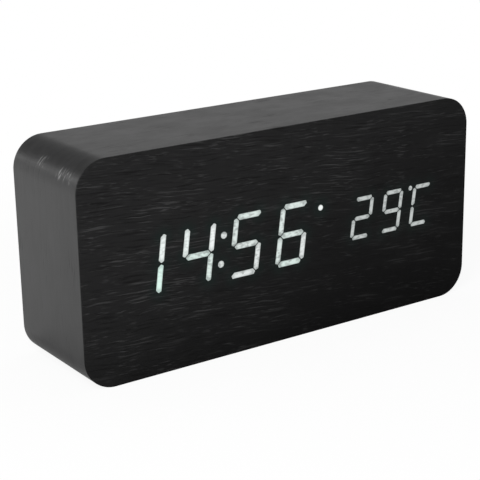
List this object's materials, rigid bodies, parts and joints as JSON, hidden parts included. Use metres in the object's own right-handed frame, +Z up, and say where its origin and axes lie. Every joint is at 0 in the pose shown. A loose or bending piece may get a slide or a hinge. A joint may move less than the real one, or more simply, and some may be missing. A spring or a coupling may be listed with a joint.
{
  "type": "digital led desk clock",
  "caption": "Wood-block LED desk clock: black grain film over a rounded fibreboard case, white time and temperature figures, and a rear cover with keys, inlet and battery door.",
  "frame": {"origin": "middle of the underside, on the surface that the clock stands on", "axes": "+X to the right along the front, +Y from front to back, +Z up; the figures face -Y"},
  "size_m": [0.15, 0.04, 0.07],
  "materials": {
    "fibreboard": "bare cut fibreboard",
    "front_grain_film": "black wood-grain film with a satin face",
    "side_grain_film": "smooth charcoal wood-grain film",
    "rear_grain_film": "black wood-grain film",
    "white_light": "film with light behind it, glowing white with a trace of mint",
    "white_reflector": "moulded white",
    "milky_filling": "milky cast resin",
    "circuit_board": "green solder mask",
    "black_foam": "soft closed-cell foam",
    "wood_screw_steel": "bright zinc",
    "black_screw_steel": "black oxide",
    "chip_black": "black moulding compound",
    "light_chip": "clear resin over phosphor",
    "bright_can": "drawn nickel-plated can",
    "capacitor_can": "sleeved aluminium can",
    "chip_ceramic": "glazed ceramic with tinned ends",
    "bead_resin": "black epoxy bead on tinned leads",
    "socket_plastic": "natural nylon",
    "ribbon_plastic": "grey ribbon cable",
    "cover_plastic": "black moulded plastic with a fine spark texture",
    "inlet_plastic": "black moulded plastic",
    "switch_plastic": "black moulded plastic under a bright frame",
    "plunger_plastic": "white moulded plastic",
    "contact_nickel": "nickel-plated spring steel",
    "cell_jacket": "printed jacket with bare bright ends",
    "red_insulation": "red insulated wire",
    "black_insulation": "black insulated wire"
  },
  "bodies": {
    "clock": {"case_core": "fibreboard", "front_film": "front_grain_film", "side_wrap": "side_grain_film", "rear_film": "rear_grain_film", "lit_hours": "white_light", "lit_colon": "white_light", "lit_minutes": "white_light", "lit_marker": "white_light", "lit_temperature": "white_light", "lit_celsius": "white_light", "display_housing": "white_reflector", "time_diffusers": "milky_filling", "temperature_diffusers": "milky_filling", "display_board": "circuit_board", "main_board": "circuit_board", "display_gasket": "black_foam", "display_screws": "wood_screw_steel", "board_screws": "wood_screw_steel", "cover_screws": "black_screw_steel", "display_driver": "chip_black", "microcontroller": "chip_black", "buzzer": "chip_black", "led_chips": "light_chip", "crystal": "bright_can", "microphone": "bright_can", "capacitor": "capacitor_can", "surface_parts": "chip_ceramic", "thermistor": "bead_resin", "ribbon_sockets": "socket_plastic", "display_ribbon": "ribbon_plastic", "rear_cover": "cover_plastic", "dc_jack": "inlet_plastic", "set_switch": "switch_plastic", "up_switch": "switch_plastic", "down_switch": "switch_plastic", "positive_contact": "contact_nickel", "negative_contact": "contact_nickel", "left_bridge": "contact_nickel", "right_bridge": "contact_nickel", "dc_jack_pin": "contact_nickel", "top_cell": "cell_jacket", "middle_cell": "cell_jacket", "bottom_cell": "cell_jacket", "red_lead": "red_insulation", "black_lead": "black_insulation"},
    "set_key": {"set_button": "cover_plastic", "set_plunger": "plunger_plastic"},
    "up_key": {"up_button": "cover_plastic", "up_plunger": "plunger_plastic"},
    "down_key": {"down_button": "cover_plastic", "down_plunger": "plunger_plastic"},
    "door": {"battery_door": "cover_plastic"}
  },
  "joints": [
    {"name": "set_press", "type": "slide", "parent": "clock", "child": "set_key", "axis": [0, -1, 0], "range_m": [0, 0.0005], "stiffness_N_per_m": 800},
    {"name": "up_press", "type": "slide", "parent": "clock", "child": "up_key", "axis": [0, -1, 0], "range_m": [0, 0.0005], "stiffness_N_per_m": 800},
    {"name": "down_press", "type": "slide", "parent": "clock", "child": "down_key", "axis": [0, -1, 0], "range_m": [0, 0.0005], "stiffness_N_per_m": 800},
    {"name": "door_hinge", "type": "hinge", "parent": "clock", "child": "door", "pos_m": [0.03, 0.018, 0.01755], "axis": [-1, 0, 0], "range_deg": [0, 100]}
  ]
}
